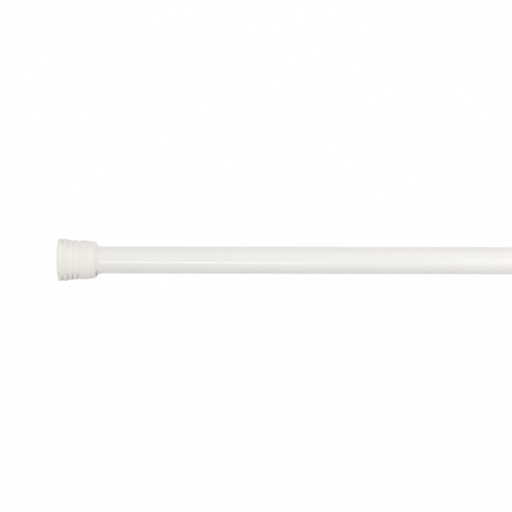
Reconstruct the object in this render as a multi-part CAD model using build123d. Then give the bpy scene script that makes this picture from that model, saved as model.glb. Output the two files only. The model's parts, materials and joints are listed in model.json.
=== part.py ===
"""Spring tension shower curtain rod, modelled in millimetres.

Two white steel tubes telescope, and a rubber cap on each end presses on a wall. The rod lies along X.
The origin is the centre of the outer tube's wall face, and +X runs along the rod to the other wall.

Turning the inner tube screws a cone nut into a split sleeve, which spreads against the outer tube's
bore and fixes the length. A spring in the inner tube then pushes the two walls apart.
"""

from build123d import *
import math
import os

# Whole rod, wall face to wall face
REST_LENGTH = 700.0

# Tubes
OUTER_TUBE_RADIUS = 12.7
INNER_TUBE_RADIUS = 11.1
TUBE_WALL = 0.6
OUTER_BORE = OUTER_TUBE_RADIUS - TUBE_WALL
INNER_BORE = INNER_TUBE_RADIUS - TUBE_WALL
TUBE_MOUTH = 586.0

# Rolled beads in the inner tube: centre along X, depth, half width
GUIDE_BEAD = (150.0, 0.8, 2.6)
SEAT_BEAD = (257.0, 1.6, 4.0)
BEND_RADIUS = 1.6

# Gaps and edge breaks
RUNNING_GAP = 0.1
THREAD_GAP = 0.05
WASHER_GAP = 0.2
EDGE = 0.6
SMALL_EDGE = 0.4
OVERCUT = 1.0

# Rubber cap, measured along its axis from the wall face
CAP_FLOOR = 5.0
CAP_SHOULDER = 35.3
LIP_LENGTH = 2.5
LIP_WALL = 0.6
LIP_ROUND = 0.25
RING_CROWNS = (19.6, 19.55, 18.7, 18.3)
RING_SAG = 0.15
FIRST_GROOVE = 4.05
RING_PITCH = 4.75
GROOVE_WIDTH = 2.1
GROOVE_DEPTH = 0.9
GROOVE_ROUND = 0.6
FACE_ROUND = 0.6
BODY_START_RADIUS = 17.8
BODY_CROWN = (24.0, 18.2)
BODY_END = (32.8, 16.9)
SHOULDER_RADIUS = 14.4
SHOULDER_ROUND = 0.5

# Moulding core between the cap's wall pad and its skirt, and the grip grooves in the pad
PAD_RADIUS = 14.2
SKIRT_RADIUS = 16.6
SKIRT_DEPTH = 13.0
CORE_DRAFT = 0.3
PAD_GROOVES = (4.5, 7.5, 10.5)
PAD_GROOVE_WIDTH = 1.2
PAD_GROOVE_DEPTH = 0.6

# Plugs in the tube ends, under the caps
PLUG_FLANGE = 2.0
PLUG_SHANK = 14.0
PLUG_WALL = 1.8
PLUG_LEAD = 1.0
PLUG_RIBS = 6
PLUG_RIB_HEIGHT = 0.25
PLUG_RIB_WIDTH = 1.4
PLUG_RIB_END = 2.0

# Mouth bushing
BUSHING_LIP = 2.0
BUSHING_LENGTH = 16.0
BUSHING_SLIT = 1.6
SLIT_END = 1.5

# Screw rod
ROD_RADIUS = 4.0
ROD_TIP = 61.0
ROD_FLAT = 3.25
ROD_CHAMFER = 0.8
TAIL_RADIUS = 3.0
TAIL_END = 176.0

# Lock sleeve
SLEEVE_START = 72.0
SLEEVE_FINGERS = 20.0
SLEEVE_END = 100.0
SLEEVE_MOUTH = 9.5
SLEEVE_THROAT = 7.6
TAPER_LENGTH = 14.0
HINGE_RELIEF = 9.7
HINGE_LENGTH = 3.5
SLOT_COUNT = 6
SLOT_WIDTH = 2.0
SLOT_FLOOR = 5.5
GRIP_COUNT = 7
GRIP_PITCH = 2.2
GRIP_WIDTH = 1.0
GRIP_DEPTH = 0.35

# Cone nut and the stop nut at the rod's tip
CONE_GAP = 0.3
CONE_START = 70.0
CONE_END = 85.0
CONE_FLANGE_RADIUS = 10.9
CONE_FLANGE = 2.4
KEY_COUNT = 3
KEY_WIDTH = 1.6
KEY_RADIUS = 11.3
KEY_ROOT = 6.6
KEY_SETBACK = 2.0
KEY_CHAMFER = 1.2
NUT_BEVEL = math.radians(30)
STOP_NUT_LENGTH = 4.0
STOP_NUT_FLATS = 13.0

# Collar, its washer and its pin
THRUST_WASHER = 1.0
THRUST_WASHER_RADIUS = 8.5
COLLAR_RADIUS = 7.9
COLLAR_LENGTH = 8.0
PIN_RADIUS = 1.25
PIN_WALL = 0.5
PIN_SPLIT = 0.5

# Guide plug in the inner tube's end
GUIDE_FACE = 135.0
GUIDE_FLANGE = 2.5
GUIDE_END = 160.0
GUIDE_HUB = 6.2
GUIDE_RIM = 8.3
GUIDE_CORE_DEPTH = 15.0
GUIDE_SPOKES = 4
SPOKE_WIDTH = 1.6

# Spring, and the pieces at its two ends
WIRE_RADIUS = 1.0
COIL_RADIUS = 8.7
SPRING_LENGTH = 85.0
ACTIVE_COILS = 10
CLOSED_PITCH = 2.25
FOLLOWER_RADIUS = 10.2
SEAT_RADIUS = 10.3
SEAT_BORE = 4.0
SEAT_GAP = 0.05
DISC_THICKNESS = 3.0
BOSS_RADIUS = 7.5
BOSS_LENGTH = 5.0
BOSS_LEAD = 1.0
TAIL_WASHER = 1.0
TAIL_WASHER_RADIUS = 6.0
TAIL_NUT_LENGTH = 5.0
TAIL_NUT_FLATS = 10.0

# Stations along X that follow from the above
inner_tube_start = GUIDE_FACE + GUIDE_FLANGE
tube_inset = CAP_FLOOR + PLUG_FLANGE
thrust_start = SLEEVE_END + RUNNING_GAP
collar_start = thrust_start + THRUST_WASHER
collar_end = collar_start + COLLAR_LENGTH
tail_start = GUIDE_END + RUNNING_GAP
follower_face = tail_start + DISC_THICKNESS
tail_washer_start = follower_face + BOSS_LENGTH
tail_nut_start = tail_washer_start + TAIL_WASHER
spring_end = follower_face + SPRING_LENGTH

taper = (SLEEVE_MOUTH - SLEEVE_THROAT) / TAPER_LENGTH
sleeve_radius = OUTER_BORE - RUNNING_GAP


def turned(outline, rounds=()):
    """Solid turned about X from a closed outline of (along X, radius), with some corners rounded."""
    face = make_face(outline)
    for point, radius in rounds:
        corner = face.vertices().sort_by_distance(Vector(*point))[0]
        face = fillet(corner, radius)
    return revolve(face, Axis.X, 360)


def ring(start, end, radius, bore=0.0):
    """Plain turned disc, washer or cylinder between two stations on X."""
    corners = [(start, bore), (end, bore), (end, radius), (start, radius)]
    return turned(Polyline(*corners, close=True))


def around_x(shape, count, turn=0.0):
    """Copies of a shape, evenly spaced about X, as one."""
    return Part() + [Rot(turn + 360.0 * i / count, 0, 0) * shape for i in range(count)]


def bar(start, end, low, high, width):
    """Radial bar along X, from radius low to radius high on the +Y side."""
    return Pos((start + end) / 2, (low + high) / 2, 0) * Box(end - start, high - low, width)


def hex_nut(start, length, across_flats, bore):
    """Hexagon nut along X with both faces chamfered."""
    end = start + length
    flat = across_flats / 2
    corner = across_flats / math.sqrt(3)
    hexagon = Pos(start, 0, 0) * (Plane.YZ * RegularPolygon(corner, 6))
    rise = (corner - flat) * math.tan(NUT_BEVEL)
    outline = Polyline(
        (start, 0),
        (start, flat),
        (start + rise, corner),
        (end - rise, corner),
        (end, flat),
        (end, 0),
        close=True,
    )
    blank = extrude(hexagon, length, dir=(1, 0, 0)) & turned(outline)
    return blank - ring(start - OVERCUT, end + OVERCUT, bore)


def cap_pad():
    """Wall side of the cap's section: the pad with its grip grooves, then the moulding core."""
    radius = 0.0
    for middle in PAD_GROOVES:
        low = middle - PAD_GROOVE_WIDTH / 2
        high = middle + PAD_GROOVE_WIDTH / 2
        Line((0, radius), (0, low))
        ThreePointArc((0, low), (PAD_GROOVE_DEPTH, middle), (0, high))
        radius = high
    Line((0, radius), (0, PAD_RADIUS))
    core_end = SKIRT_DEPTH - (SKIRT_RADIUS - PAD_RADIUS) / 2
    inside = (core_end, PAD_RADIUS + CORE_DRAFT)
    outside = (core_end, SKIRT_RADIUS - CORE_DRAFT)
    Line((0, PAD_RADIUS), inside)
    ThreePointArc(inside, (SKIRT_DEPTH, (PAD_RADIUS + SKIRT_RADIUS) / 2), outside)
    Line(outside, (0, SKIRT_RADIUS))


def cap_rings():
    """Outside of the cap from the wall face over its rings: the last point, and the corners to round."""
    sides = [crown - RING_SAG for crown in RING_CROWNS] + [BODY_START_RADIUS]
    here = (0, sides[0])
    rounds = [(here, FACE_ROUND)]
    Line((0, SKIRT_RADIUS), here)
    for number, crown in enumerate(RING_CROWNS):
        groove = FIRST_GROOVE + number * RING_PITCH
        edge = (groove - GROOVE_WIDTH / 2, sides[number])
        floor = (groove, min(sides[number], sides[number + 1]) - GROOVE_DEPTH)
        far_edge = (groove + GROOVE_WIDTH / 2, sides[number + 1])
        ThreePointArc(here, ((here[0] + edge[0]) / 2, crown), edge)
        Line(edge, floor)
        Line(floor, far_edge)
        rounds += [(corner, GROOVE_ROUND) for corner in (edge, floor, far_edge)]
        here = far_edge
    return here, rounds


def end_cap(bore):
    """Moulded rubber cap: wall pad, skirt with four rings, swelling body and a thin lip on the tube."""
    lip_end = CAP_SHOULDER + LIP_LENGTH
    lip = bore + LIP_WALL
    with BuildLine() as outline:
        cap_pad()
        here, rounds = cap_rings()
        body = ThreePointArc(here, BODY_CROWN, BODY_END)
        shoulder = (CAP_SHOULDER, SHOULDER_RADIUS)
        TangentArc(body @ 1, shoulder, tangent=body % 1)
        Polyline(
            shoulder,
            (CAP_SHOULDER, lip),
            (lip_end, lip),
            (lip_end, bore),
            (CAP_FLOOR, bore),
            (CAP_FLOOR, 0),
            (0, 0),
        )
    rounds += [(shoulder, SHOULDER_ROUND), ((CAP_SHOULDER, lip), LIP_ROUND), ((lip_end, lip), LIP_ROUND)]
    return turned(outline.line, rounds)


def end_plug(tube_radius, tube_bore):
    """Nylon cup pressed into a tube end, so that the tube's edge can't cut the cap."""
    end = tube_inset + PLUG_SHANK
    shank = tube_bore - PLUG_RIB_HEIGHT
    cup = turned(
        Polyline(
            (CAP_FLOOR, 0),
            (CAP_FLOOR, tube_radius),
            (tube_inset, tube_radius),
            (tube_inset, shank),
            (end - PLUG_LEAD, shank),
            (end, shank - PLUG_LEAD / 2),
            (end, shank - PLUG_WALL),
            (tube_inset, shank - PLUG_WALL),
            (tube_inset, 0),
            close=True,
        )
    )
    rib_end = end - PLUG_RIB_END
    rib = bar(tube_inset, rib_end, shank - PLUG_WALL / 2, tube_bore + OVERCUT, PLUG_RIB_WIDTH)
    return cup + (around_x(rib, PLUG_RIBS) & ring(tube_inset, rib_end, tube_bore))


def at_far_wall(shape):
    """Turns a piece of the outer end round to face the other wall."""
    return Pos(REST_LENGTH, 0, 0) * Rot(0, 0, 180) * shape


def bead_line(bead, offset):
    """One wall line of a rolled bead, at an offset from the tube's outside: start, lowest point, end."""
    centre, depth, half_width = bead
    roll = (half_width**2 + depth**2) / (2 * depth) + offset
    reach = math.sqrt(roll**2 - (roll - depth) ** 2)
    radius = INNER_TUBE_RADIUS - offset
    return (centre - reach, radius), (centre, radius - depth), (centre + reach, radius)


def bead_face(bead, radius):
    """Station on X where a bead's inside comes down to a radius."""
    centre, depth, half_width = bead
    roll = (half_width**2 + depth**2) / (2 * depth) + TUBE_WALL
    lowest = INNER_TUBE_RADIUS - TUBE_WALL - depth
    return centre - math.sqrt(roll**2 - (lowest + roll - radius) ** 2)


def inner_tube():
    """Drawn tube with two beads rolled into its wall."""
    far_end = REST_LENGTH - tube_inset
    rounds = []
    with BuildLine() as outline:
        for offset, bend in ((0.0, BEND_RADIUS), (TUBE_WALL, BEND_RADIUS - TUBE_WALL)):
            radius = INNER_TUBE_RADIUS - offset
            here = (inner_tube_start, radius)
            for bead in (GUIDE_BEAD, SEAT_BEAD):
                first, low, last = bead_line(bead, offset)
                Line(here, first)
                ThreePointArc(first, low, last)
                rounds += [(first, bend), (last, bend)]
                here = last
            Line(here, (far_end, radius))
        Line((inner_tube_start, INNER_TUBE_RADIUS), (inner_tube_start, INNER_BORE))
        Line((far_end, INNER_TUBE_RADIUS), (far_end, INNER_BORE))
    return turned(outline.line, rounds)


def mouth_bushing():
    """Split nylon ring in the outer tube's mouth, which the inner tube runs in."""
    bore = INNER_TUBE_RADIUS + RUNNING_GAP
    inside = TUBE_MOUTH + BUSHING_LIP - BUSHING_LENGTH
    lip_end = TUBE_MOUTH + BUSHING_LIP
    bushing = turned(
        Polyline(
            (inside, bore + SMALL_EDGE),
            (inside + EDGE, bore),
            (lip_end - SMALL_EDGE, bore),
            (lip_end, bore + SMALL_EDGE),
            (lip_end, OUTER_TUBE_RADIUS - SMALL_EDGE),
            (lip_end - SMALL_EDGE, OUTER_TUBE_RADIUS),
            (TUBE_MOUTH, OUTER_TUBE_RADIUS),
            (TUBE_MOUTH, OUTER_BORE),
            (inside, OUTER_BORE),
            close=True,
        )
    )
    slit = bar(inside - OVERCUT, TUBE_MOUTH - SLIT_END, 0, OUTER_TUBE_RADIUS, BUSHING_SLIT)
    return bushing - Rot(-90, 0, 0) * slit


def cone_radius(station):
    """Radius of the cone nut's taper at a station on X."""
    return SLEEVE_MOUTH - (station - SLEEVE_START) * taper - CONE_GAP


def cone_nut():
    """Nylon nut with the lock's taper, and keys that run in the sleeve's slots."""
    flange_start = CONE_START - CONE_FLANGE
    bore = ROD_RADIUS + THREAD_GAP
    body = turned(
        Polyline(
            (flange_start, bore),
            (flange_start, CONE_FLANGE_RADIUS - EDGE),
            (flange_start + EDGE, CONE_FLANGE_RADIUS),
            (CONE_START, CONE_FLANGE_RADIUS),
            (CONE_START, cone_radius(CONE_START)),
            (CONE_END - EDGE, cone_radius(CONE_END - EDGE)),
            (CONE_END, cone_radius(CONE_END) - EDGE),
            (CONE_END, bore),
            close=True,
        )
    )
    key = bar(CONE_START, CONE_END - KEY_SETBACK, KEY_ROOT, KEY_RADIUS, KEY_WIDTH)
    nose = key.faces().sort_by(Axis.X)[-1].edges().sort_by(Axis.Y)[-1]
    return body + around_x(chamfer(nose, KEY_CHAMFER), KEY_COUNT)


def lock_sleeve():
    """Split nylon sleeve: fingers with a taper inside and grip grooves outside, on a solid ring."""
    root = SLEEVE_START + SLEEVE_FINGERS
    relief = root - HINGE_LENGTH
    bore = ROD_RADIUS + RUNNING_GAP
    here = (SLEEVE_START + EDGE, sleeve_radius)
    back_edge = (SLEEVE_END - EDGE, sleeve_radius)
    with BuildLine() as outline:
        Polyline(
            (SLEEVE_END, bore),
            (root, bore),
            (root, HINGE_RELIEF),
            (relief, HINGE_RELIEF),
            (relief - OVERCUT, SLEEVE_THROAT),
            (SLEEVE_START + TAPER_LENGTH, SLEEVE_THROAT),
            (SLEEVE_START, SLEEVE_MOUTH),
            (SLEEVE_START, sleeve_radius - EDGE),
            here,
        )
        for number in range(GRIP_COUNT):
            middle = SLEEVE_START + (number + 1) * GRIP_PITCH
            left = (middle - GRIP_WIDTH / 2, sleeve_radius)
            right = (middle + GRIP_WIDTH / 2, sleeve_radius)
            Line(here, left)
            ThreePointArc(left, (middle, sleeve_radius - GRIP_DEPTH), right)
            here = right
        Polyline(here, back_edge, (SLEEVE_END, sleeve_radius - EDGE), (SLEEVE_END, bore))
    slot_end = root - SLOT_WIDTH / 2
    high = sleeve_radius + OVERCUT
    slot = bar(SLEEVE_START - OVERCUT, slot_end, SLOT_FLOOR, high, SLOT_WIDTH)
    end_drill = Cylinder(SLOT_WIDTH / 2, high - SLOT_FLOOR)
    slot += Pos(slot_end, (SLOT_FLOOR + high) / 2, 0) * Rot(90, 0, 0) * end_drill
    return turned(outline.line) - around_x(slot, SLOT_COUNT)


def cross_hole(radius):
    """Hole for the spring pin, across a round piece of the given radius."""
    return Pos((collar_start + collar_end) / 2, 0, 0) * Cylinder(PIN_RADIUS, 4 * radius)


def collar():
    """Steel collar that carries the thrust from the rod to the sleeve."""
    body = turned(
        Polyline(
            (collar_start, ROD_RADIUS),
            (collar_start, COLLAR_RADIUS - EDGE),
            (collar_start + EDGE, COLLAR_RADIUS),
            (collar_end - EDGE, COLLAR_RADIUS),
            (collar_end, COLLAR_RADIUS - EDGE),
            (collar_end, ROD_RADIUS),
            close=True,
        )
    )
    return body - cross_hole(COLLAR_RADIUS)


def collar_pin():
    """Rolled spring pin, a split tube, across the collar and the rod."""
    length = 2 * (COLLAR_RADIUS - SMALL_EDGE)
    pin = Cylinder(PIN_RADIUS, length) - Cylinder(PIN_RADIUS - PIN_WALL, length)
    pin -= Pos(PIN_RADIUS, 0, 0) * Box(2 * PIN_RADIUS, PIN_SPLIT, length)
    return Pos((collar_start + collar_end) / 2, 0, 0) * pin


def screw_rod():
    """Steel rod: screw at the lock end, flats where it slides, and a turned-down tail."""
    rod = turned(
        Polyline(
            (ROD_TIP, 0),
            (ROD_TIP, ROD_RADIUS - ROD_CHAMFER),
            (ROD_TIP + ROD_CHAMFER, ROD_RADIUS),
            (tail_start, ROD_RADIUS),
            (tail_start, TAIL_RADIUS),
            (TAIL_END - ROD_CHAMFER, TAIL_RADIUS),
            (TAIL_END, TAIL_RADIUS - ROD_CHAMFER),
            (TAIL_END, 0),
            close=True,
        )
    )
    flats_start = collar_end + SMALL_EDGE
    flat = bar(flats_start, TAIL_END, ROD_FLAT, ROD_RADIUS + OVERCUT, 2 * ROD_RADIUS)
    return rod - around_x(flat, 2, turn=90) - cross_hole(ROD_RADIUS)


def rod_guide():
    """Cored nylon plug crimped into the inner tube, with a bore that fits the rod's flats."""
    bore = ROD_RADIUS + RUNNING_GAP
    flange_radius = OUTER_BORE - RUNNING_GAP
    first, low, last = bead_line(GUIDE_BEAD, TUBE_WALL)
    with BuildLine() as outline:
        Polyline(
            first,
            (inner_tube_start, INNER_BORE),
            (inner_tube_start, flange_radius),
            (GUIDE_FACE + EDGE, flange_radius),
            (GUIDE_FACE, flange_radius - EDGE),
            (GUIDE_FACE, 0),
            (GUIDE_END, 0),
            (GUIDE_END, INNER_BORE - EDGE),
            (GUIDE_END - EDGE, INNER_BORE),
            last,
        )
        ThreePointArc(last, low, first)
    bend = BEND_RADIUS - TUBE_WALL
    plug = turned(outline.line, [(first, bend), (last, bend)])
    pocket = ring(GUIDE_END - GUIDE_CORE_DEPTH, GUIDE_END + OVERCUT, GUIDE_RIM, GUIDE_HUB)
    spoke = bar(GUIDE_FACE, GUIDE_END + OVERCUT, 0, GUIDE_RIM + OVERCUT, SPOKE_WIDTH)
    hole = ring(GUIDE_FACE - OVERCUT, GUIDE_END + OVERCUT, bore)
    key_height = ROD_FLAT + RUNNING_GAP
    key = bar(GUIDE_FACE - OVERCUT, GUIDE_END + OVERCUT, key_height, 2 * bore, 2 * bore)
    return plug - (pocket - around_x(spoke, GUIDE_SPOKES)) - (hole - around_x(key, 2, turn=90))


def spring_boss(face, tip, disc_radius, back, bore):
    """Disc that the spring bears on at a face, with a boss that centres the coils."""
    lead = math.copysign(BOSS_LEAD, tip - face)
    return turned(
        Polyline(
            (back, bore),
            (back, disc_radius),
            (face, disc_radius),
            (face, BOSS_RADIUS),
            (tip - lead, BOSS_RADIUS),
            (tip, BOSS_RADIUS - BOSS_LEAD),
            (tip, bore),
            close=True,
        )
    )


def thrust_spring():
    """Compression spring with a closed, ground coil at each end."""
    active_length = SPRING_LENGTH - 2 * CLOSED_PITCH
    closed = Helix(CLOSED_PITCH, CLOSED_PITCH, COIL_RADIUS)
    stretches = [
        closed,
        Pos(0, 0, CLOSED_PITCH) * Helix(active_length / ACTIVE_COILS, active_length, COIL_RADIUS),
        Pos(0, 0, CLOSED_PITCH + active_length) * closed,
    ]
    wire = Part()
    for helix in stretches:
        section = Plane(helix @ 0, z_dir=helix % 0) * Circle(WIRE_RADIUS)
        wire += sweep(section, path=helix, is_frenet=True)
    middle = Pos(0, 0, SPRING_LENGTH / 2)
    ground = wire & middle * Cylinder(2 * COIL_RADIUS, SPRING_LENGTH)
    return Pos(follower_face, 0, 0) * Rot(0, 90, 0) * ground


def build():
    """Every piece of the rod, by node name."""
    stop_nut_start = CONE_START - CONE_FLANGE - RUNNING_GAP - STOP_NUT_LENGTH
    washer_bore = ROD_RADIUS + WASHER_GAP
    tail_bore = TAIL_RADIUS + WASHER_GAP
    boss_tip = spring_end - BOSS_LENGTH
    seat_back = bead_face(SEAT_BEAD, SEAT_RADIUS) - SEAT_GAP
    return {
        "outer_cap": end_cap(OUTER_TUBE_RADIUS),
        "outer_end_plug": end_plug(OUTER_TUBE_RADIUS, OUTER_BORE),
        "outer_tube": ring(tube_inset, TUBE_MOUTH, OUTER_TUBE_RADIUS, OUTER_BORE),
        "mouth_bushing": mouth_bushing(),
        "stop_nut": hex_nut(stop_nut_start, STOP_NUT_LENGTH, STOP_NUT_FLATS, ROD_RADIUS),
        "cone_nut": cone_nut(),
        "lock_sleeve": lock_sleeve(),
        "thrust_washer": ring(thrust_start, collar_start, THRUST_WASHER_RADIUS, washer_bore),
        "collar": collar(),
        "collar_pin": collar_pin(),
        "screw_rod": screw_rod(),
        "rod_guide": rod_guide(),
        "spring_follower": spring_boss(
            follower_face, tail_washer_start, FOLLOWER_RADIUS, tail_start, TAIL_RADIUS
        ),
        "tail_washer": ring(tail_washer_start, tail_nut_start, TAIL_WASHER_RADIUS, tail_bore),
        "tail_nut": hex_nut(tail_nut_start, TAIL_NUT_LENGTH, TAIL_NUT_FLATS, TAIL_RADIUS),
        "thrust_spring": thrust_spring(),
        "spring_seat": spring_boss(spring_end, boss_tip, SEAT_RADIUS, seat_back, SEAT_BORE),
        "inner_tube": inner_tube(),
        "inner_end_plug": at_far_wall(end_plug(INNER_TUBE_RADIUS, INNER_BORE)),
        "inner_cap": at_far_wall(end_cap(INNER_TUBE_RADIUS)),
    }


os.makedirs("parts", exist_ok=True)
for name, shape in build().items():
    export_step(Compound(children=list(shape.solids())), f"parts/{name}.step")
    print(name, "solids", len(shape.solids()), "volume", round(shape.volume, 1))
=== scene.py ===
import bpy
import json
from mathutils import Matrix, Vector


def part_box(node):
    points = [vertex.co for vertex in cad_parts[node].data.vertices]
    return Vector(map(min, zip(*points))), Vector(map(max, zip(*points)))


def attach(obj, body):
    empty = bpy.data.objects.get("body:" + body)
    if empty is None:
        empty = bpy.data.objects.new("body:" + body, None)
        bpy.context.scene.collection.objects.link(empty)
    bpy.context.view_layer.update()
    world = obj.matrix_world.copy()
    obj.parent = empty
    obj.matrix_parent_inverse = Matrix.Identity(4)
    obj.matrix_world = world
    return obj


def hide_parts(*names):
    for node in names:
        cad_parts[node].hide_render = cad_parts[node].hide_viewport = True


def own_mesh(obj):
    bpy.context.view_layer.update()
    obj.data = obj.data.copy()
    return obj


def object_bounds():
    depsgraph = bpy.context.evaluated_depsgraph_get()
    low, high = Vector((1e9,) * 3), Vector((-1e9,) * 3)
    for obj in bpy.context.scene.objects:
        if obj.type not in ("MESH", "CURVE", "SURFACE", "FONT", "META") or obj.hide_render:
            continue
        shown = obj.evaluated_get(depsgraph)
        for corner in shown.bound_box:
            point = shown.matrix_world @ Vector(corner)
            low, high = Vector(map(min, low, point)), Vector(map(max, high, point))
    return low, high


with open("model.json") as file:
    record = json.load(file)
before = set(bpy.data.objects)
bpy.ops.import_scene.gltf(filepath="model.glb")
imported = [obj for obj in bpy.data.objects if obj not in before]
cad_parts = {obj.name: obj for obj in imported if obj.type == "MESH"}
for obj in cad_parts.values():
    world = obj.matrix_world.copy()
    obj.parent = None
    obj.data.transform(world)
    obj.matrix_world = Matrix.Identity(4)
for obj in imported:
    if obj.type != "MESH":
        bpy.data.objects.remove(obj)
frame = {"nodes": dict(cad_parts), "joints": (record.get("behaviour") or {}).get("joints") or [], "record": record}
cad_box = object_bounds()


def rounded(box):
    """A box's two corners, short enough to print."""
    return [round(value, 4) for corner in box for value in corner]


print("CAD box", rounded(cad_box))

# %% [markdown]
# # A spring tension shower curtain rod
#
# The real thing is a white enamelled steel tube that slides over a thinner one, with a soft rubber
# cap on each end. A screw, a split sleeve and a spring hide inside. Every piece is already here,
# in metres, with the rod along X and its first wall face at the origin. What is left to do is the
# camera, the finishes, the few forms that have to be finer than CAD leaves them, and the light.

# %% Blender's modules and a unit
import json
import math

import bpy
from mathutils import Quaternion, Vector

MM = 0.001
print("Blender", bpy.app.version_string, "with", len(frame["nodes"]), "pieces")

# %% [markdown]
# ## The camera
#
# The picture was taken square on, from well over a metre away: the tube keeps one thickness right
# across the frame, and the wall face itself is hidden. A long lens does that. The frame starts
# left of the wall face and cuts the rod off on its right. The distance could be guessed and
# corrected by eye. Here it follows from the thickness of the tube in the picture instead, because
# that is one number that can be measured.

# %% Camera
IMAGE_WIDTH = 512
TUBE_THICKNESS_IN_IMAGE = 27.35
WALL_FACE_IN_IMAGE = 59.2
AXIS_BELOW_CENTRE_IN_IMAGE = 4.2
LENS = 105.0
SENSOR = 36.0
CAMERA_ELEVATION = math.radians(4.0)
CAMERA_ROLL = math.radians(0.12)

tube_low, tube_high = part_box("outer_tube")
tube_radius = (tube_high.z - tube_low.z) / 2
metres_per_pixel = 2 * tube_radius / TUBE_THICKNESS_IN_IMAGE
camera_distance = IMAGE_WIDTH * metres_per_pixel * LENS / SENSOR
aim_in_image = Vector((IMAGE_WIDTH / 2 - WALL_FACE_IN_IMAGE, 0.0, AXIS_BELOW_CENTRE_IN_IMAGE))
aim = aim_in_image * metres_per_pixel
toward_camera = Vector((0.0, -math.cos(CAMERA_ELEVATION), math.sin(CAMERA_ELEVATION)))


def stand(thing, place, target, roll=0.0):
    """Puts a camera or lamp at a place, facing a target."""
    bpy.context.scene.collection.objects.link(thing)
    thing.location = place
    thing.rotation_mode = "QUATERNION"
    level = (Vector(target) - Vector(place)).to_track_quat("-Z", "Y")
    thing.rotation_quaternion = level @ Quaternion((0.0, 0.0, 1.0), roll)


camera = bpy.data.objects.new("camera", bpy.data.cameras.new("camera"))
camera.data.lens = LENS
camera.data.sensor_width = SENSOR
stand(camera, aim + toward_camera * camera_distance, aim, CAMERA_ROLL)
bpy.context.scene.camera = camera
print("camera", round(camera_distance, 3), "m from the rod")

# %% [markdown]
# ## Shader maths as plain Python
#
# A finish such as enamel is a formula over the surface: a little noise here, a ridge there. Wiring
# that by hand takes dozens of nodes. Instead, one small class stands for a socket, and adding or
# multiplying two of them adds the Math node that does it.

# %% Values over a surface
class Value:
    """A number that varies over a surface. Arithmetic on it adds Math nodes."""

    def __init__(self, finish, socket):
        self.finish = finish
        self.socket = socket

    def maths(self, operation, *terms):
        settings = {"operation": operation}
        node = self.finish.node("ShaderNodeMath", settings, dict(enumerate((self, *terms))))
        return Value(self.finish, node.outputs[0])

    def __add__(self, other):
        return self.maths("ADD", other)

    def __sub__(self, other):
        return self.maths("SUBTRACT", other)

    def __rsub__(self, other):
        return self * -1.0 + other

    def __mul__(self, other):
        return self.maths("MULTIPLY", other)

    def __truediv__(self, other):
        return self.maths("DIVIDE", other)

    def __abs__(self):
        return self.maths("ABSOLUTE")

    __radd__ = __add__
    __rmul__ = __mul__

    def held(self):
        """The value, kept between 0 and 1."""
        return self.maths("MAXIMUM", 0.0).maths("MINIMUM", 1.0)

    def ridge(self, centre, half_width):
        """1 where this value equals centre, falling to 0 at half_width to each side."""
        return (1 - abs(self - centre) / half_width).held()


# %% [markdown]
# ## A finish, made node by node
#
# A material could be built in the shader editor and copied from file to file. Here a second class
# keeps one material's node tree, and every node in it comes from one method that takes the node's
# type, its settings and what goes into its sockets. Noise, colour mixing and relief are then a line
# each. Noise counts in real metres, so a grain has the same size on a long tube and a small nut.

# %% Finishes
MIX_SHARE, MIX_FIRST, MIX_SECOND, MIX_RESULT = 0, 6, 7, 2


class Finish:
    """One material, made node by node."""

    def __init__(self, name, owner=None):
        self.owner = owner or bpy.data.materials.new(name)
        self.owner.use_nodes = True
        self.tree = self.owner.node_tree
        self.tree.nodes.clear()

    def node(self, kind, settings=None, inputs=None):
        """Adds a node: its settings first, then a value, colour or link for each socket."""
        made = self.tree.nodes.new(kind)
        for name, setting in (settings or {}).items():
            setattr(made, name, setting)
        for name, source in (inputs or {}).items():
            socket = made.inputs[name]
            if isinstance(source, Value):
                self.tree.links.new(source.socket, socket)
            elif isinstance(source, bpy.types.NodeSocket):
                self.tree.links.new(source, socket)
            elif socket.type == "RGBA":
                socket.default_value = (*source, 1.0)
            else:
                socket.default_value = source
        return made

    def split(self, vector):
        """The three parts of a vector."""
        parts = self.node("ShaderNodeSeparateXYZ", None, {0: vector})
        return [Value(self, parts.outputs[axis]) for axis in "XYZ"]

    def place(self):
        """Where a point is on its piece, in metres: along the rod, across it, and up."""
        return self.split(self.node("ShaderNodeTexCoord").outputs["Object"])

    def noise(self, size, detail=2.0, stretch=(1.0, 1.0, 1.0)):
        """Soft random mottling of 0 to 1, in patches about size metres across."""
        place = self.node("ShaderNodeTexCoord").outputs["Object"]
        scale = [factor / size for factor in stretch]
        scaled = self.node("ShaderNodeVectorMath", {"operation": "MULTIPLY"}, {0: place, 1: scale})
        sockets = {"Vector": scaled.outputs[0], "Scale": 1.0, "Detail": detail}
        return Value(self, self.node("ShaderNodeTexNoise", None, sockets).outputs["Fac"])

    def mix(self, share, first, second):
        """A colour between two, by a share that varies over the surface."""
        sockets = {MIX_SHARE: share, MIX_FIRST: first, MIX_SECOND: second}
        return self.node("ShaderNodeMix", {"data_type": "RGBA"}, sockets).outputs[MIX_RESULT]

    def relief(self, height):
        """The surface's normal, tilted by a height in metres."""
        sockets = {"Height": height, "Distance": 1.0, "Strength": 1.0}
        return self.node("ShaderNodeBump", None, sockets).outputs["Normal"]

    def surface(self, **sockets):
        """The finished material, from the shader's sockets by name."""
        named = {name.replace("_", " "): source for name, source in sockets.items()}
        shader = self.node("ShaderNodeBsdfPrincipled", None, named)
        self.node("ShaderNodeOutputMaterial", None, {"Surface": shader.outputs[0]})
        print(self.owner.name, "takes", len(self.tree.nodes), "nodes")
        return self.owner


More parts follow.
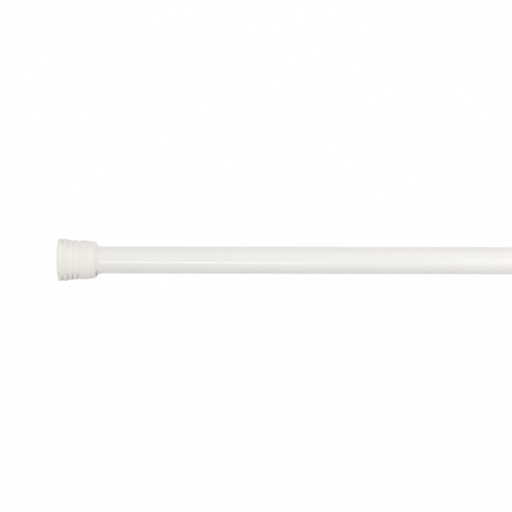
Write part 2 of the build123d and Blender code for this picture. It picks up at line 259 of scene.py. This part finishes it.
# %% [markdown]
# ## White enamel on the tubes
#
# The tubes are rolled steel strip, seam welded, then sprayed white and baked. The coat is glossy
# and has the faint waviness of orange peel, with a speck of dust caught in it here and there. Under
# it the weld still shows as a very shallow line along the tube. A painted image would stretch on
# so long a piece, so the waviness is noise in real metres, and the weld is a ridge at one angle
# round the axis. The thinner tube also has fine rub marks along it, from sliding in its bushing.

# %% Enamel
ENAMEL = (0.872, 0.855, 0.838)
ENAMEL_THIN = (0.860, 0.841, 0.822)
ENAMEL_RUBBED = (0.83, 0.82, 0.80)
ENAMEL_ROUGHNESS = 0.30
CLOUD_SIZE = 60 * MM
CLOUD_STRETCH = (0.3, 1.0, 1.0)
CLOUD_DULLING = 0.08
PEEL_SIZE = 2.6 * MM
PEEL_HEIGHT = 0.004 * MM
SPECK_SIZE = 2.2 * MM
SPECK_SHARE = 0.77
SPECK_HEIGHT = 0.05 * MM
WELD_ANGLE = math.radians(40)
WELD_HALF_WIDTH = 0.05
WELD_HEIGHT = 0.08 * MM
RUB_SIZE = 0.5 * MM
RUB_STRETCH = (0.012, 1.0, 1.0)
RUB_PATCH_SIZE = 25 * MM
RUB_PATCH_STRETCH = (0.3, 1.0, 1.0)
RUB_FROM = 0.27
RUB_GAIN = 6
RUB_DULLING = 0.2


def white_enamel(name, rubbed):
    """Baked enamel, with or without the rub marks of a tube that slides in another."""
    finish = Finish(name)
    across, up = finish.place()[1:]
    weld = up.maths("ARCTAN2", across).ridge(WELD_ANGLE, WELD_HALF_WIDTH)
    peel = finish.noise(PEEL_SIZE)
    speck = (finish.noise(SPECK_SIZE, detail=0.0) - SPECK_SHARE).held()
    height = peel * PEEL_HEIGHT + speck * SPECK_HEIGHT + weld * WELD_HEIGHT
    cloud = finish.noise(CLOUD_SIZE, stretch=CLOUD_STRETCH)
    colour = finish.mix(cloud, ENAMEL, ENAMEL_THIN)
    roughness = ENAMEL_ROUGHNESS + cloud * CLOUD_DULLING
    if rubbed:
        lines = finish.noise(RUB_SIZE, stretch=RUB_STRETCH)
        patches = finish.noise(RUB_PATCH_SIZE, stretch=RUB_PATCH_STRETCH)
        rub = ((lines * patches - RUB_FROM) * RUB_GAIN).held()
        colour = finish.mix(rub, colour, ENAMEL_RUBBED)
        roughness = roughness + rub * RUB_DULLING
    return finish.surface(
        Base_Color=colour,
        Roughness=roughness,
        Specular_IOR_Level=0.2,
        Coat_Weight=0.95,
        Coat_Roughness=0.08,
        Normal=finish.relief(height),
    )


finishes = {"white_enamel": white_enamel("white_enamel", rubbed=False)}

# %% [markdown]
# ## Warm white rubber on the caps
#
# The caps are moulded from soft white rubber, a shade warmer and duller than the enamel. It has a
# satin grain from the mould, cloudy patches where the filler isn't quite even, and a little
# greyness on the face and rim that rub on the wall. The grooves are paler, partly from a trace of
# talc and partly from painted light that offsets their shade. The grooves on top are darker, most
# in the one nearest the wall. Underneath, the grooves and the corner at the lip carry painted
# shade. All of that could be painted by hand, but the grooves are evenly spaced, so each is a
# ridge function of the distance along the rod, and top and underside follow from the height over
# the axis. Both caps share the material: each point counts from the nearer wall.

# %% Rubber
RUBBER = (0.900, 0.877, 0.832)
RUBBER_CLOUDY = (0.880, 0.855, 0.806)
# Talc and painted light: the grooves' paler colour, partly talc and partly light that offsets their shade.
RUBBER_TALC_AND_PAINTED_LIGHT = (0.95, 0.94, 0.92)
RUBBER_SCUFFED = (0.78, 0.76, 0.71)
# Painted shade for the grooves and the lip corner on the underside.
RUBBER_PAINTED_SHADE = (0.44, 0.43, 0.39)
RUBBER_DARKER_ON_TOP = (0.56, 0.55, 0.54)
RUBBER_ROUGHNESS = 0.58
CLOUDY_SIZE = 8 * MM
CLOUDY_DULLING = 0.12
BLOTCH_SIZE = 3 * MM
BLOTCH_HEIGHT = 0.02 * MM
GRAIN_SIZE = 0.45 * MM
GRAIN_HEIGHT = 0.010 * MM

# %% Where the rubber is marked
FIRST_GROOVE = 4.05
GROOVE_PITCH = 4.75
GROOVE_COUNT = 4
GROOVE_REACH = 0.95 * MM
LIP_CORNER = 34.95
LEAST_IN_GROOVE = 0.35
# Where the painted shade under the grooves starts, and how fast it grows.
SHADE_BELOW_FROM = 0.60
SHADE_BELOW_REACH = 0.25
# How far up the grooves turn darker, and how that fades away from the wall.
TOP_DARK_FROM = 0.70
TOP_DARK_REACH = 0.30
TOP_DARK_AT_WALL = 1.45
TOP_DARK_FADE = 9 * MM
TOP_DARK_LEAST = 0.22
TOP_DARK_COVER = 1.4
SCUFF_REACH = 1.3 * MM
SCUFF_COVER = 1.2
rod_length = cad_box[1].x


def cap_rubber():
    """Moulded rubber, grooves with talc and painted light, darker on top, painted shade below."""
    finish = Finish("cap_rubber")
    along, across, up = finish.place()
    from_wall = along.maths("MINIMUM", rod_length - along)
    grooves = sum(
        from_wall.ridge((FIRST_GROOVE + number * GROOVE_PITCH) * MM, GROOVE_REACH)
        for number in range(GROOVE_COUNT)
    )
    corner = from_wall.ridge(LIP_CORNER * MM, GROOVE_REACH)
    upward = up / (across * across + up * up).maths("SQRT")
    # Painted shade in the grooves and the lip corner on the underside, where less light reaches.
    painted_shade = ((upward + SHADE_BELOW_FROM) / -SHADE_BELOW_REACH).held() * (grooves + corner)
    fading = (TOP_DARK_AT_WALL - from_wall / TOP_DARK_FADE).maths("MAXIMUM", TOP_DARK_LEAST)
    # The grooves on top are darker, most in the one nearest the wall.
    darker_on_top = ((upward - TOP_DARK_FROM) / TOP_DARK_REACH).held() * grooves * fading
    cloudy = finish.noise(CLOUDY_SIZE, detail=4.0)
    blotches = finish.noise(BLOTCH_SIZE, detail=5.0)
    scuffed = ((1 - from_wall / SCUFF_REACH) * blotches * SCUFF_COVER).held()
    colour = finish.mix(cloudy, RUBBER, RUBBER_CLOUDY)
    # Grooves paler: a trace of talc, and painted light that offsets the grooves' shade.
    colour = finish.mix(grooves * (blotches + LEAST_IN_GROOVE), colour, RUBBER_TALC_AND_PAINTED_LIGHT)
    colour = finish.mix(darker_on_top * blotches * TOP_DARK_COVER, colour, RUBBER_DARKER_ON_TOP)
    # Painted shade under the rings and at the lip corner.
    colour = finish.mix(painted_shade * (blotches + LEAST_IN_GROOVE), colour, RUBBER_PAINTED_SHADE)
    return finish.surface(
        Base_Color=finish.mix(scuffed, colour, RUBBER_SCUFFED),
        Roughness=RUBBER_ROUGHNESS + cloudy * CLOUDY_DULLING,
        Specular_IOR_Level=0.3,
        Normal=finish.relief(finish.noise(GRAIN_SIZE) * GRAIN_HEIGHT + blotches * BLOTCH_HEIGHT),
    )


finishes["cap_rubber"] = cap_rubber()

# %% [markdown]
# ## Nylon inside
#
# Nothing inside is painted. The moulded pieces are nylon, cream where it was left natural and
# white where it shows at the tube's mouth. It could be one even colour, but the real thing has
# faint swirls where it flowed into the mould, so a soft noise, stretched along the rod, shifts both
# its colour and its gloss.

# %% Nylon
NATURAL_NYLON = (0.80, 0.77, 0.67)
WHITE_NYLON = (0.86, 0.86, 0.845)
NYLON_ROUGHNESS = 0.34
FLOW_SIZE = 7 * MM
FLOW_STRETCH = (0.4, 1.0, 1.0)
FLOW_SHADE = 0.92
FLOW_DULLING = 0.2
NYLON_GRAIN_SIZE = 0.8 * MM
NYLON_GRAIN_HEIGHT = 0.006 * MM


def nylon(name, colour):
    """Moulded nylon of a given colour."""
    finish = Finish(name)
    flow = finish.noise(FLOW_SIZE, detail=4.0, stretch=FLOW_STRETCH)
    grain = finish.noise(NYLON_GRAIN_SIZE)
    return finish.surface(
        Base_Color=finish.mix(flow, colour, [channel * FLOW_SHADE for channel in colour]),
        Roughness=NYLON_ROUGHNESS + flow * FLOW_DULLING,
        Normal=finish.relief(grain * NYLON_GRAIN_HEIGHT),
    )


finishes["natural_nylon"] = nylon("natural_nylon", NATURAL_NYLON)
finishes["white_nylon"] = nylon("white_nylon", WHITE_NYLON)

# %% [markdown]
# ## Zinc and spring steel inside
#
# The turned and stamped pieces are zinc plated over fine lathe lines, and the spring is drawn wire
# with a film of oil. Both are bare metal with lines in it, so one function makes them. Lines come
# from a noise that is squeezed in one direction and stretched in the others: its size and stretch
# are all that tells a lathe's marks from a drawing die's, besides the colours.

# %% Steel
ZINC = (0.68, 0.69, 0.69)
ZINC_HAZE = (0.54, 0.55, 0.58)
LATHE_LINE_SIZE = 0.3 * MM
LATHE_STRETCH = (1.0, 0.05, 0.05)
WIRE = (0.38, 0.37, 0.36)
WIRE_OILED = (0.26, 0.25, 0.24)
DIE_LINE_SIZE = 0.5 * MM
DIE_STRETCH = (1.0, 0.3, 0.3)
STEEL_ROUGHNESS = 0.2
LINE_DULLING = 0.25
LINE_HEIGHT = 0.008 * MM
HAZE_SIZE = 5 * MM


def bright_steel(name, colour, hazy, line_size, stretch):
    """Bare metal with tool lines, clouded towards a second colour."""
    finish = Finish(name)
    lines = finish.noise(line_size, stretch=stretch)
    haze = finish.noise(HAZE_SIZE, detail=3.0)
    return finish.surface(
        Base_Color=finish.mix(haze, colour, hazy),
        Metallic=1.0,
        Roughness=STEEL_ROUGHNESS + lines * LINE_DULLING,
        Normal=finish.relief(lines * LINE_HEIGHT),
    )


finishes["zinc_steel"] = bright_steel("zinc_steel", ZINC, ZINC_HAZE, LATHE_LINE_SIZE, LATHE_STRETCH)
finishes["spring_steel"] = bright_steel("spring_steel", WIRE, WIRE_OILED, DIE_LINE_SIZE, DIE_STRETCH)

# %% [markdown]
# ## Every piece gets its finish
#
# The finishes could be picked piece by piece. But the record says which slot each piece takes, so
# they are handed out from there, and no piece can be forgotten. The thinner tube is the one
# exception: same enamel, with rub marks.

# %% Finishes on the pieces
def give_finish(piece, material):
    """Makes a material the only one on a piece."""
    piece.data.materials.clear()
    piece.data.materials.append(material)


for row in frame["record"]["subparts"]:
    give_finish(frame["nodes"][row["node"]], finishes[row["material_slot"]])
give_finish(frame["nodes"]["inner_tube"], white_enamel("white_enamel_rubbed", rubbed=True))
print(len(bpy.data.materials), "materials on", len(frame["nodes"]), "pieces")

# %% [markdown]
# ## Soft caps
#
# In the picture the cap is all soft edges: a rounded rim, four rings that look rolled rather than
# cut, a body that swells a little, and a thin lip that hugs the tube. It could be made from a
# cylinder with loop cuts and subdivision, but each ring would take a dozen cuts. Here the section
# is a Bezier outline, whose own handles round every ring and groove, and the outline is turned
# about the rod. The mould's parting line is two extra fine steps in the turning.

# %% A piece that stands for a CAD node
SHARP_EDGE = math.radians(35.0)


def new_piece(name, points, faces, body, slot, node):
    """A mesh that moves with a CAD body and stands for one of its nodes."""
    mesh = bpy.data.meshes.new(name)
    mesh.from_pydata(points, [], faces)
    mesh.validate()
    mesh.shade_smooth()
    mesh.set_sharp_from_angle(angle=SHARP_EDGE)
    piece = bpy.data.objects.new(name, mesh)
    bpy.context.scene.collection.objects.link(piece)
    give_finish(piece, finishes[slot])
    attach(piece, body)
    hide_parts(node)
    print(name, len(mesh.polygons), "faces for", node)
    return piece


# %% A rounded outline
OUTLINE_STEPS = 5


def bezier_outline(corners):
    """Points of (along, radius) in metres on a closed outline. Soft corners are rounded."""
    curve = bpy.data.curves.new("outline", "CURVE")
    curve.resolution_u = OUTLINE_STEPS
    spline = curve.splines.new("BEZIER")
    spline.bezier_points.add(len(corners) - 1)
    spline.use_cyclic_u = True
    for point, (along, radius, kind) in zip(spline.bezier_points, corners):
        point.co = (along * MM, radius * MM, 0.0)
        point.handle_left_type = point.handle_right_type = kind
    holder = bpy.data.objects.new("outline", curve)
    bpy.context.scene.collection.objects.link(holder)
    depsgraph = bpy.context.evaluated_depsgraph_get()
    mesh = bpy.data.meshes.new_from_object(holder.evaluated_get(depsgraph))
    points = [(vertex.co.x, max(vertex.co.y, 0.0)) for vertex in mesh.vertices]
    bpy.data.objects.remove(holder)
    bpy.data.curves.remove(curve)
    bpy.data.meshes.remove(mesh)
    return points


# %% Turning an outline about the rod
TURNING_STEPS = 144
PARTING_ANGLES = (75.0, 255.0)
PARTING_HALF_WIDTH = 0.8
PARTING_HEIGHT = 0.07 * MM


def turning_angles():
    """Even steps round the rod, and each parting line with a step on either side of it."""
    even = [(360.0 * step / TURNING_STEPS, 0.0) for step in range(TURNING_STEPS)]
    fine = []
    for parting in PARTING_ANGLES:
        even = [step for step in even if abs(step[0] - parting) > PARTING_HALF_WIDTH]
        fine += [
            (parting - PARTING_HALF_WIDTH, 0.0),
            (parting, PARTING_HEIGHT),
            (parting + PARTING_HALF_WIDTH, 0.0),
        ]
    return sorted(even + fine)


def turned_mesh(outline, is_outside):
    """Points and faces of a closed outline, turned about the rod's axis."""
    points = []
    for degrees, proud in turning_angles():
        angle = math.radians(degrees)
        for x, radius in outline:
            reach = radius + (proud if is_outside(x, radius) else 0.0)
            points.append((x, reach * math.cos(angle), reach * math.sin(angle)))
    rows = len(outline)
    columns = len(points) // rows
    faces = []
    for column in range(columns):
        here, there = column * rows, (column + 1) % columns * rows
        for row in range(rows):
            after = (row + 1) % rows
            faces.append((here + row, here + after, there + after, there + row))
    return points, faces


print(len(turning_angles()), "steps round the rod")

# %% [markdown]
# ## The cap's section
#
# The numbers are millimetres from the wall face and from the axis. They go from the middle of the
# wall pad out over its grip grooves, into the moulding core behind the rings, over the rings and
# the body, down to the lip, and back along the bore. A corner marked AUTO is soft, and a VECTOR
# corner is as sharp as the mould could cut it. A list of every corner would do as well, but the
# grip grooves and the rings each repeat, so each of them is a loop.

# %% Wall pad and rings
GATE_RADIUS = 1.5
GATE_DEPTH = 0.3
GATE_SLOPE = 0.2
PAD_GROOVES = (4.5, 7.5, 10.5)
PAD_GROOVE_HALF_WIDTH = 0.6
PAD_GROOVE_DEPTH = 0.6
RING_CROWNS = (19.5, 19.48, 18.63, 18.22)
GROOVE_FLOORS = (18.72, 17.88, 17.46, 17.08)
RIM_RISE = 0.04
RING_STARTS_AFTER, RING_START_DROP = 1.0, 0.2
RING_ENDS_BEFORE, RING_END_DROP = 1.05, 0.16


def pad_corners():
    """The wall pad with its gate mark and grip grooves, and the core behind the rings."""
    corners = [
        (GATE_DEPTH, 0.0, "VECTOR"),
        (GATE_DEPTH, GATE_RADIUS - GATE_SLOPE, "VECTOR"),
        (0.0, GATE_RADIUS, "VECTOR"),
    ]
    for groove in PAD_GROOVES:
        corners += [
            (0.0, groove - PAD_GROOVE_HALF_WIDTH, "VECTOR"),
            (PAD_GROOVE_DEPTH, groove, "AUTO"),
            (0.0, groove + PAD_GROOVE_HALF_WIDTH, "VECTOR"),
        ]
    return corners + [
        (0.0, 13.9, "VECTOR"),
        (0.3, 14.2, "AUTO"),
        (11.8, 14.5, "AUTO"),
        (13.0, 15.4, "AUTO"),
        (11.8, 16.3, "AUTO"),
        (0.3, 16.6, "AUTO"),
        (0.0, 16.9, "VECTOR"),
    ]


def ring_corners():
    """The rounded rim and the four rings, each with a soft groove after it."""
    corners = [(0.0, 18.8, "VECTOR"), (0.2, 19.3, "AUTO"), (0.9, RING_CROWNS[0] + RIM_RISE, "AUTO")]
    for number, (crown, floor) in enumerate(zip(RING_CROWNS, GROOVE_FLOORS)):
        groove = FIRST_GROOVE + number * GROOVE_PITCH
        if number:
            start = groove - GROOVE_PITCH + RING_STARTS_AFTER
            corners.append((start, crown - RING_START_DROP, "AUTO"))
        corners += [
            (groove - GROOVE_PITCH / 2, crown, "AUTO"),
            (groove - RING_ENDS_BEFORE, crown - RING_END_DROP, "AUTO"),
            (groove, floor, "AUTO"),
        ]
    return corners


print(len(pad_corners()), "corners over the pad and core,", len(ring_corners()), "over the rings")

# %% Body, lip and bore
LIP_WALL = 0.58
CAP_FLOOR = 5.0
cap_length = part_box("outer_cap")[1].x / MM


def body_corners(lip):
    """The swelling body, its shoulder, and the lip of a given outside radius."""
    return [
        (19.45, 17.66, "AUTO"),
        (21.0, 17.98, "AUTO"),
        (23.6, 18.02, "AUTO"),
        (27.6, 17.52, "AUTO"),
        (31.0, 16.94, "AUTO"),
        (33.0, 16.54, "AUTO"),
        (34.2, 16.02, "AUTO"),
        (34.85, 15.0, "AUTO"),
        (LIP_CORNER, lip + 0.25, "AUTO"),
        (LIP_CORNER + 0.4, lip, "AUTO"),
        (cap_length - 0.5, lip - 0.03, "AUTO"),
        (cap_length - 0.08, lip - 0.22, "AUTO"),
    ]


def cap_section(tube):
    """The whole section, for a tube of a given radius."""
    bore = [
        (cap_length, tube + 0.1, "VECTOR"),
        (cap_length, tube, "VECTOR"),
        (CAP_FLOOR, tube, "VECTOR"),
        (CAP_FLOOR, 0.0, "VECTOR"),
    ]
    return pad_corners() + ring_corners() + body_corners(tube + LIP_WALL) + bore


print("cap", round(cap_length, 2), "mm long")

# %% [markdown]
# ## Two caps on two tubes
#
# The two caps of such a rod come from one mould, with a smaller core for the thinner tube. The
# second could be a mirrored copy of the first, but its bore would be too wide. So both are turned
# from the same section, with the tube's own radius in it, and the second is put in place end for
# end. The parting line is only on the outside, down to the shoulder, as the mould leaves it.

# %% Two caps
CORE_OUTSIDE = 16.95
CORE_END = 14
SHOULDER_FOOT = 14


def is_cap_outside(x, radius):
    """Whether a point of the section is on the outside, which the parting line crosses."""
    past_core = x > CORE_END * MM and radius > SHOULDER_FOOT * MM
    return radius > CORE_OUTSIDE * MM or past_core


def at_first_wall(x, y, z):
    """A cap's point, left where the section puts it."""
    return x, y, z


def at_second_wall(x, y, z):
    """A cap's point, turned end for end about the upright."""
    return rod_length - x, -y, z


def soft_cap(name, tube_node, body, node, to_place):
    """A cap that fits a tube, turned, put in its place and given to its body."""
    low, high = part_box(tube_node)
    outline = bezier_outline(cap_section((high.z - low.z) / 2 / MM))
    points, faces = turned_mesh(outline, is_cap_outside)
    new_piece(name, [to_place(*point) for point in points], faces, body, "cap_rubber", node)
    print(name, "reaches", round(max(radius for x, radius in outline) / MM, 2), "mm from the axis")


soft_cap("outer_cap_soft", "outer_tube", "outer_rod", "outer_cap", at_first_wall)
soft_cap("inner_cap_soft", "inner_tube", "inner_rod", "inner_cap", at_second_wall)

# %% [markdown]
# ## A real thread on the screw rod
#
# The lock works because the rod is a screw: turning it draws the cone nut into the sleeve. CAD
# holds it as a plain bar. The Screw modifier could wind a tooth shape round it, but would leave
# the run-outs and the flats to be joined on. A bar is only a radius for each place along it and
# each angle round it. A thread is a radius that falls and rises once a pitch and is shifted by the
# angle, and a flat is a radius cut off by a plane, so one function gives the whole rod.

# %% The screw rod's sizes
THREAD_PITCH = 1.25 * MM
THREAD_DEPTH = 0.65 * MM
TAIL_PITCH = 1.0 * MM
TAIL_DEPTH = 0.5 * MM
TAIL_RADIUS = 3.0 * MM
THREAD_HALF_WIDTH = 0.44
ROD_FLAT = 3.25 * MM
ROD_CHAMFER = 0.8 * MM
FLATS_AFTER_COLLAR = 0.4 * MM
HAIR = 0.01 * MM

rod_low, rod_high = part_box("screw_rod")
rod_radius = (rod_high.y - rod_low.y) / 2
thread_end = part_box("lock_sleeve")[1].x
flats_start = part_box("collar")[1].x + FLATS_AFTER_COLLAR
tail_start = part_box("spring_follower")[0].x
print("screw rod", round(2 * rod_radius / MM, 2), "mm across, thread to", round(thread_end, 4))

# %% The screw rod's radius
def thread_cut(along, angle, pitch, depth, start, end):
    """How deep a right-hand thread's groove is, with a run-out at both ends."""
    turn = (along / pitch - angle / (2 * math.pi)) % 1.0
    groove = max(0.0, 1.0 - abs(turn - 0.5) / THREAD_HALF_WIDTH)
    run_out = min(1.0, max(0.0, (along - start) / pitch), max(0.0, (end - along) / pitch))
    return depth * groove * run_out


def screw_radius(along, angle):
    """The screw rod's radius at a place along it and an angle round it."""
    chamfer = max(0.0, ROD_CHAMFER - min(along - rod_low.x, rod_high.x - along))
    if along > tail_start:
        cut = thread_cut(along, angle, TAIL_PITCH, TAIL_DEPTH, tail_start, rod_high.x)
        return TAIL_RADIUS - chamfer - cut
    if along > flats_start:
        return min(rod_radius, ROD_FLAT / max(abs(math.sin(angle)), HAIR))
    cut = thread_cut(along, angle, THREAD_PITCH, THREAD_DEPTH, rod_low.x, thread_end)
    return rod_radius - chamfer - cut


# %% The threaded rod
ROWS_PER_PITCH = 10
BAR_COLUMNS = 60


def threaded_rows(start, end, pitch):
    """Evenly spaced places that are close enough to show a thread."""
    count = round((end - start) / pitch * ROWS_PER_PITCH)
    return [start + (end - start) * row / count for row in range(count + 1)]


def bar_mesh(places, radius_at):
    """Points and faces of a bar along the rod, closed at both ends."""
    points = []
    for x in places:
        for column in range(BAR_COLUMNS):
            angle = 2 * math.pi * column / BAR_COLUMNS
            radius = radius_at(x, angle)
            points.append((x, radius * math.cos(angle), radius * math.sin(angle)))
    tip = tuple(reversed(range(BAR_COLUMNS)))
    tail = tuple(range(len(points) - BAR_COLUMNS, len(points)))
    faces = [tip, tail]
    for row in range(len(places) - 1):
        here, there = row * BAR_COLUMNS, (row + 1) * BAR_COLUMNS
        for column in range(BAR_COLUMNS):
            after = (column + 1) % BAR_COLUMNS
            faces.append((here + column, here + after, there + after, there + column))
    return points, faces


screw_rows = threaded_rows(rod_low.x, thread_end, THREAD_PITCH)
screw_rows += [flats_start, flats_start + HAIR, tail_start]
screw_rows += threaded_rows(tail_start + HAIR, rod_high.x, TAIL_PITCH)
new_piece("threaded_rod", *bar_mesh(screw_rows, screw_radius), "plunger", "zinc_steel", "screw_rod")

# %% [markdown]
# ## The thrust spring
#
# The spring in the thin tube gives the rod its push. Its two end coils are closed and ground flat,
# so that it stands square on its seats. A curve with a bevel would make the wire, but not the
# ground ends. Here a ring of points follows a helix whose pitch changes, and holding the points
# between the two seats grinds the ends. The spring shortens as the rod is pressed between its
# walls, and the joint's travel gives the length it is pressed to.

# %% The spring's coil
WIRE_RADIUS = 1.0 * MM
CLOSED_PITCH = 2.25 * MM
ACTIVE_COILS = 10
STEPS_PER_COIL = 40
WIRE_COLUMNS = 14

spring_low, spring_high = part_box("thrust_spring")
spring_length = spring_high.x - spring_low.x
coil_radius = spring_high.z - WIRE_RADIUS
active_pitch = (spring_length - 2 * CLOSED_PITCH) / ACTIVE_COILS


def wire_centre(turns):
    """How far along the rod the wire is, after a number of turns. The first and last are closed."""
    active = min(max(turns - 1.0, 0.0), ACTIVE_COILS)
    return spring_low.x + active * active_pitch + (turns - active) * CLOSED_PITCH


def spring_mesh():
    """Points and faces of the ground coil, wound right-hand."""
    steps = (ACTIVE_COILS + 2) * STEPS_PER_COIL
    points = []
    for step in range(steps + 1):
        angle = 2 * math.pi * step / STEPS_PER_COIL
        outward = Vector((0.0, math.sin(angle), -math.cos(angle)))
        for column in range(WIRE_COLUMNS):
            round_wire = 2 * math.pi * column / WIRE_COLUMNS
            reach = outward * (coil_radius + WIRE_RADIUS * math.cos(round_wire))
            x = wire_centre(step / STEPS_PER_COIL) + WIRE_RADIUS * math.sin(round_wire)
            points.append((min(max(x, spring_low.x), spring_high.x), reach.y, reach.z))
    first_end = tuple(range(WIRE_COLUMNS))
    last_end = tuple(reversed(range(len(points) - WIRE_COLUMNS, len(points))))
    faces = [first_end, last_end]
    for step in range(steps):
        here, there = step * WIRE_COLUMNS, (step + 1) * WIRE_COLUMNS
        for column in range(WIRE_COLUMNS):
            after = (column + 1) % WIRE_COLUMNS
            faces.append((here + column, there + column, there + after, here + after))
    return points, faces


spring = new_piece("spring_wire", *spring_mesh(), "plunger", "spring_steel", "thrust_spring")

# %% The spring's pressed length
travel = next(joint for joint in frame["joints"] if joint["name"] == "spring_travel")
pressed_length = spring_length + travel["range_m"][0]
pressed_length / spring_length
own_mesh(spring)
print("spring", round(spring_length / MM, 1), "mm long,", round(pressed_length / MM, 1), "pressed in")

# %% [markdown]
# ## The floor
#
# The picture has no floor line and no shadow, only white. A rod like this hangs between two walls,
# so the floor is well below it, and what shadow reaches it is wide and faint. The floor could be
# lit until it's white, but then the pale rod would be too bright as well. So it's a pale sheet for
# the light that falls on the rod, and plain white, apart from its shadow, for the camera and for
# reflections.

# %% Floor
FLOOR_DROP = 0.65
FLOOR_HALF = 6.0
FLOOR_PALE = (0.58, 0.58, 0.57)
FLOOR_GLOW = 0.98
WHITE = (1.0, 1.0, 1.0)


def plainly_seen(finish):
    """1 for the camera, reflections and glass, 0 for the light that falls on things."""
    path = finish.node("ShaderNodeLightPath")
    seen = Value(finish, path.outputs["Is Camera Ray"])
    for kind in ("Is Glossy Ray", "Is Transmission Ray"):
        seen = seen.maths("MAXIMUM", path.outputs[kind])
    return seen


def floor_finish():
    """Pale to the light, and white to the camera."""
    finish = Finish("floor_white")
    pale = finish.node("ShaderNodeBsdfDiffuse", None, {"Color": FLOOR_PALE})
    white = finish.node("ShaderNodeEmission", None, {"Color": WHITE, "Strength": 1.0})
    share = plainly_seen(finish) * FLOOR_GLOW
    sockets = {0: share, 1: pale.outputs[0], 2: white.outputs[0]}
    both = finish.node("ShaderNodeMixShader", None, sockets)
    finish.node("ShaderNodeOutputMaterial", None, {"Surface": both.outputs[0]})
    return finish.owner


floor_corners = [
    (x * FLOOR_HALF, y * FLOOR_HALF, -FLOOR_DROP) for x, y in ((-1, -1), (1, -1), (1, 1), (-1, 1))
]
floor_mesh = bpy.data.meshes.new("floor")
floor_mesh.from_pydata(floor_corners, [], [(0, 1, 2, 3)])
floor = bpy.data.objects.new("floor", floor_mesh)
bpy.context.scene.collection.objects.link(floor)
give_finish(floor, floor_finish())
print("floor", FLOOR_DROP, "m below the rod")

# %% [markdown]
# ## The white room
#
# Most of the light in the picture has no direction, as in a white room. One even colour for the
# world would do it, but then the front of the rod would be as dark as its back. So the room's glow
# grows from behind the rod to the front. The camera and glossy reflections see it as plain white.

# %% Room
ROOM_DIM = (0.60, 0.60, 0.60)
ROOM_BRIGHT = (0.92, 0.92, 0.92)


def white_room():
    """The world, dimmer behind the rod than in front."""
    world = bpy.data.worlds.new("white_room")
    bpy.context.scene.world = world
    room = Finish("white_room", world)
    backward = room.split(room.node("ShaderNodeTexCoord").outputs["Generated"])[1]
    light = room.mix(0.5 - backward * 0.5, ROOM_DIM, ROOM_BRIGHT)
    colour = room.mix(plainly_seen(room), light, WHITE)
    background = room.node("ShaderNodeBackground", None, {"Color": colour, "Strength": 1.0})
    room.node("ShaderNodeOutputWorld", None, {"Surface": background.outputs[0]})


white_room()
print("room", ROOM_DIM[0], "behind and", ROOM_BRIGHT[0], "in front")

# %% [markdown]
# ## The lamps
#
# On the tube in the picture there is a thin bright streak just under the middle. The tube gets
# brighter to the right, and its underside is the darkest. One big softbox would light it evenly and
# lose the streak. But a glossy tube is a mirror that squeezes the room into a narrow strip, so the
# streak is a lamp of its own: long, low, in front, and rolled a little, because the streak isn't
# quite level. Four soft lamps on the right, at several heights, brighten that side, and the
# narrow spread of their light keeps it off the left. One low on the left shines on the groove faces
# that look at the wall, which keeps the rings as soft as they are in the picture. The last lights
# the back. It is left out of reflections, because there it would whiten the tube's upper edge until
# that is lost against the room. All of them are weak, so that no pale surface clips to white.

# %% Lamps
FRONT = 1.5
FULL_SPREAD = 180.0
WATTS_FOR_WHITE = 4


def soft_lamp(name, place, target, size, radiance, spread=FULL_SPREAD, roll=0.0):
    """A rectangular lamp that faces a target. Head on, it looks radiance times as bright as white."""
    light = bpy.data.lights.new(name, "AREA")
    light.shape = "RECTANGLE"
    light.size, light.size_y = size
    light.spread = math.radians(spread)
    half = light.spread / 2
    narrowing = math.tan(half) / (math.tan(half) - half) if spread < FULL_SPREAD else 1.0
    light.energy = WATTS_FOR_WHITE * radiance * size[0] * size[1] / narrowing
    lamp = bpy.data.objects.new(name, light)
    stand(lamp, place, target, math.radians(roll))
    print(name, round(light.energy, 2), "W")
    return lamp


near_cap = (0.02, 0.0, 0.0)
mid_tube = (0.4, 0.0, 0.0)
far_tube = (0.62, 0.0, 0.0)
soft_lamp("low_strip", (0.02, -FRONT, -0.445), aim, (0.66, 0.12), 6.2, roll=-20)
soft_lamp("low_left", (-1.0, -1.0, -0.45), near_cap, (0.8, 0.3), 3.3, spread=50)
soft_lamp("low_right", (1.2, -1.0, -0.45), mid_tube, (1.0, 0.3), 2.56, spread=70)
soft_lamp("near_right", (0.95, -0.8, 0.1), mid_tube, (0.5, 0.8), 1.39, spread=70)
soft_lamp("front_right", (0.80, -FRONT, 0.15), far_tube, (0.5, 0.5), 0.84, spread=50)
soft_lamp("low_front", (0.80, -1.4, -0.5), far_tube, (0.8, 0.3), 1.08, spread=50)
back_light = soft_lamp("back_softbox", (0.35, FRONT, 0.5), (0.35, 0.0, 0.0), (2.0, 1.2), 0.6)
back_light.visible_glossy = False
bpy.context.scene.view_settings.view_transform = "Standard"
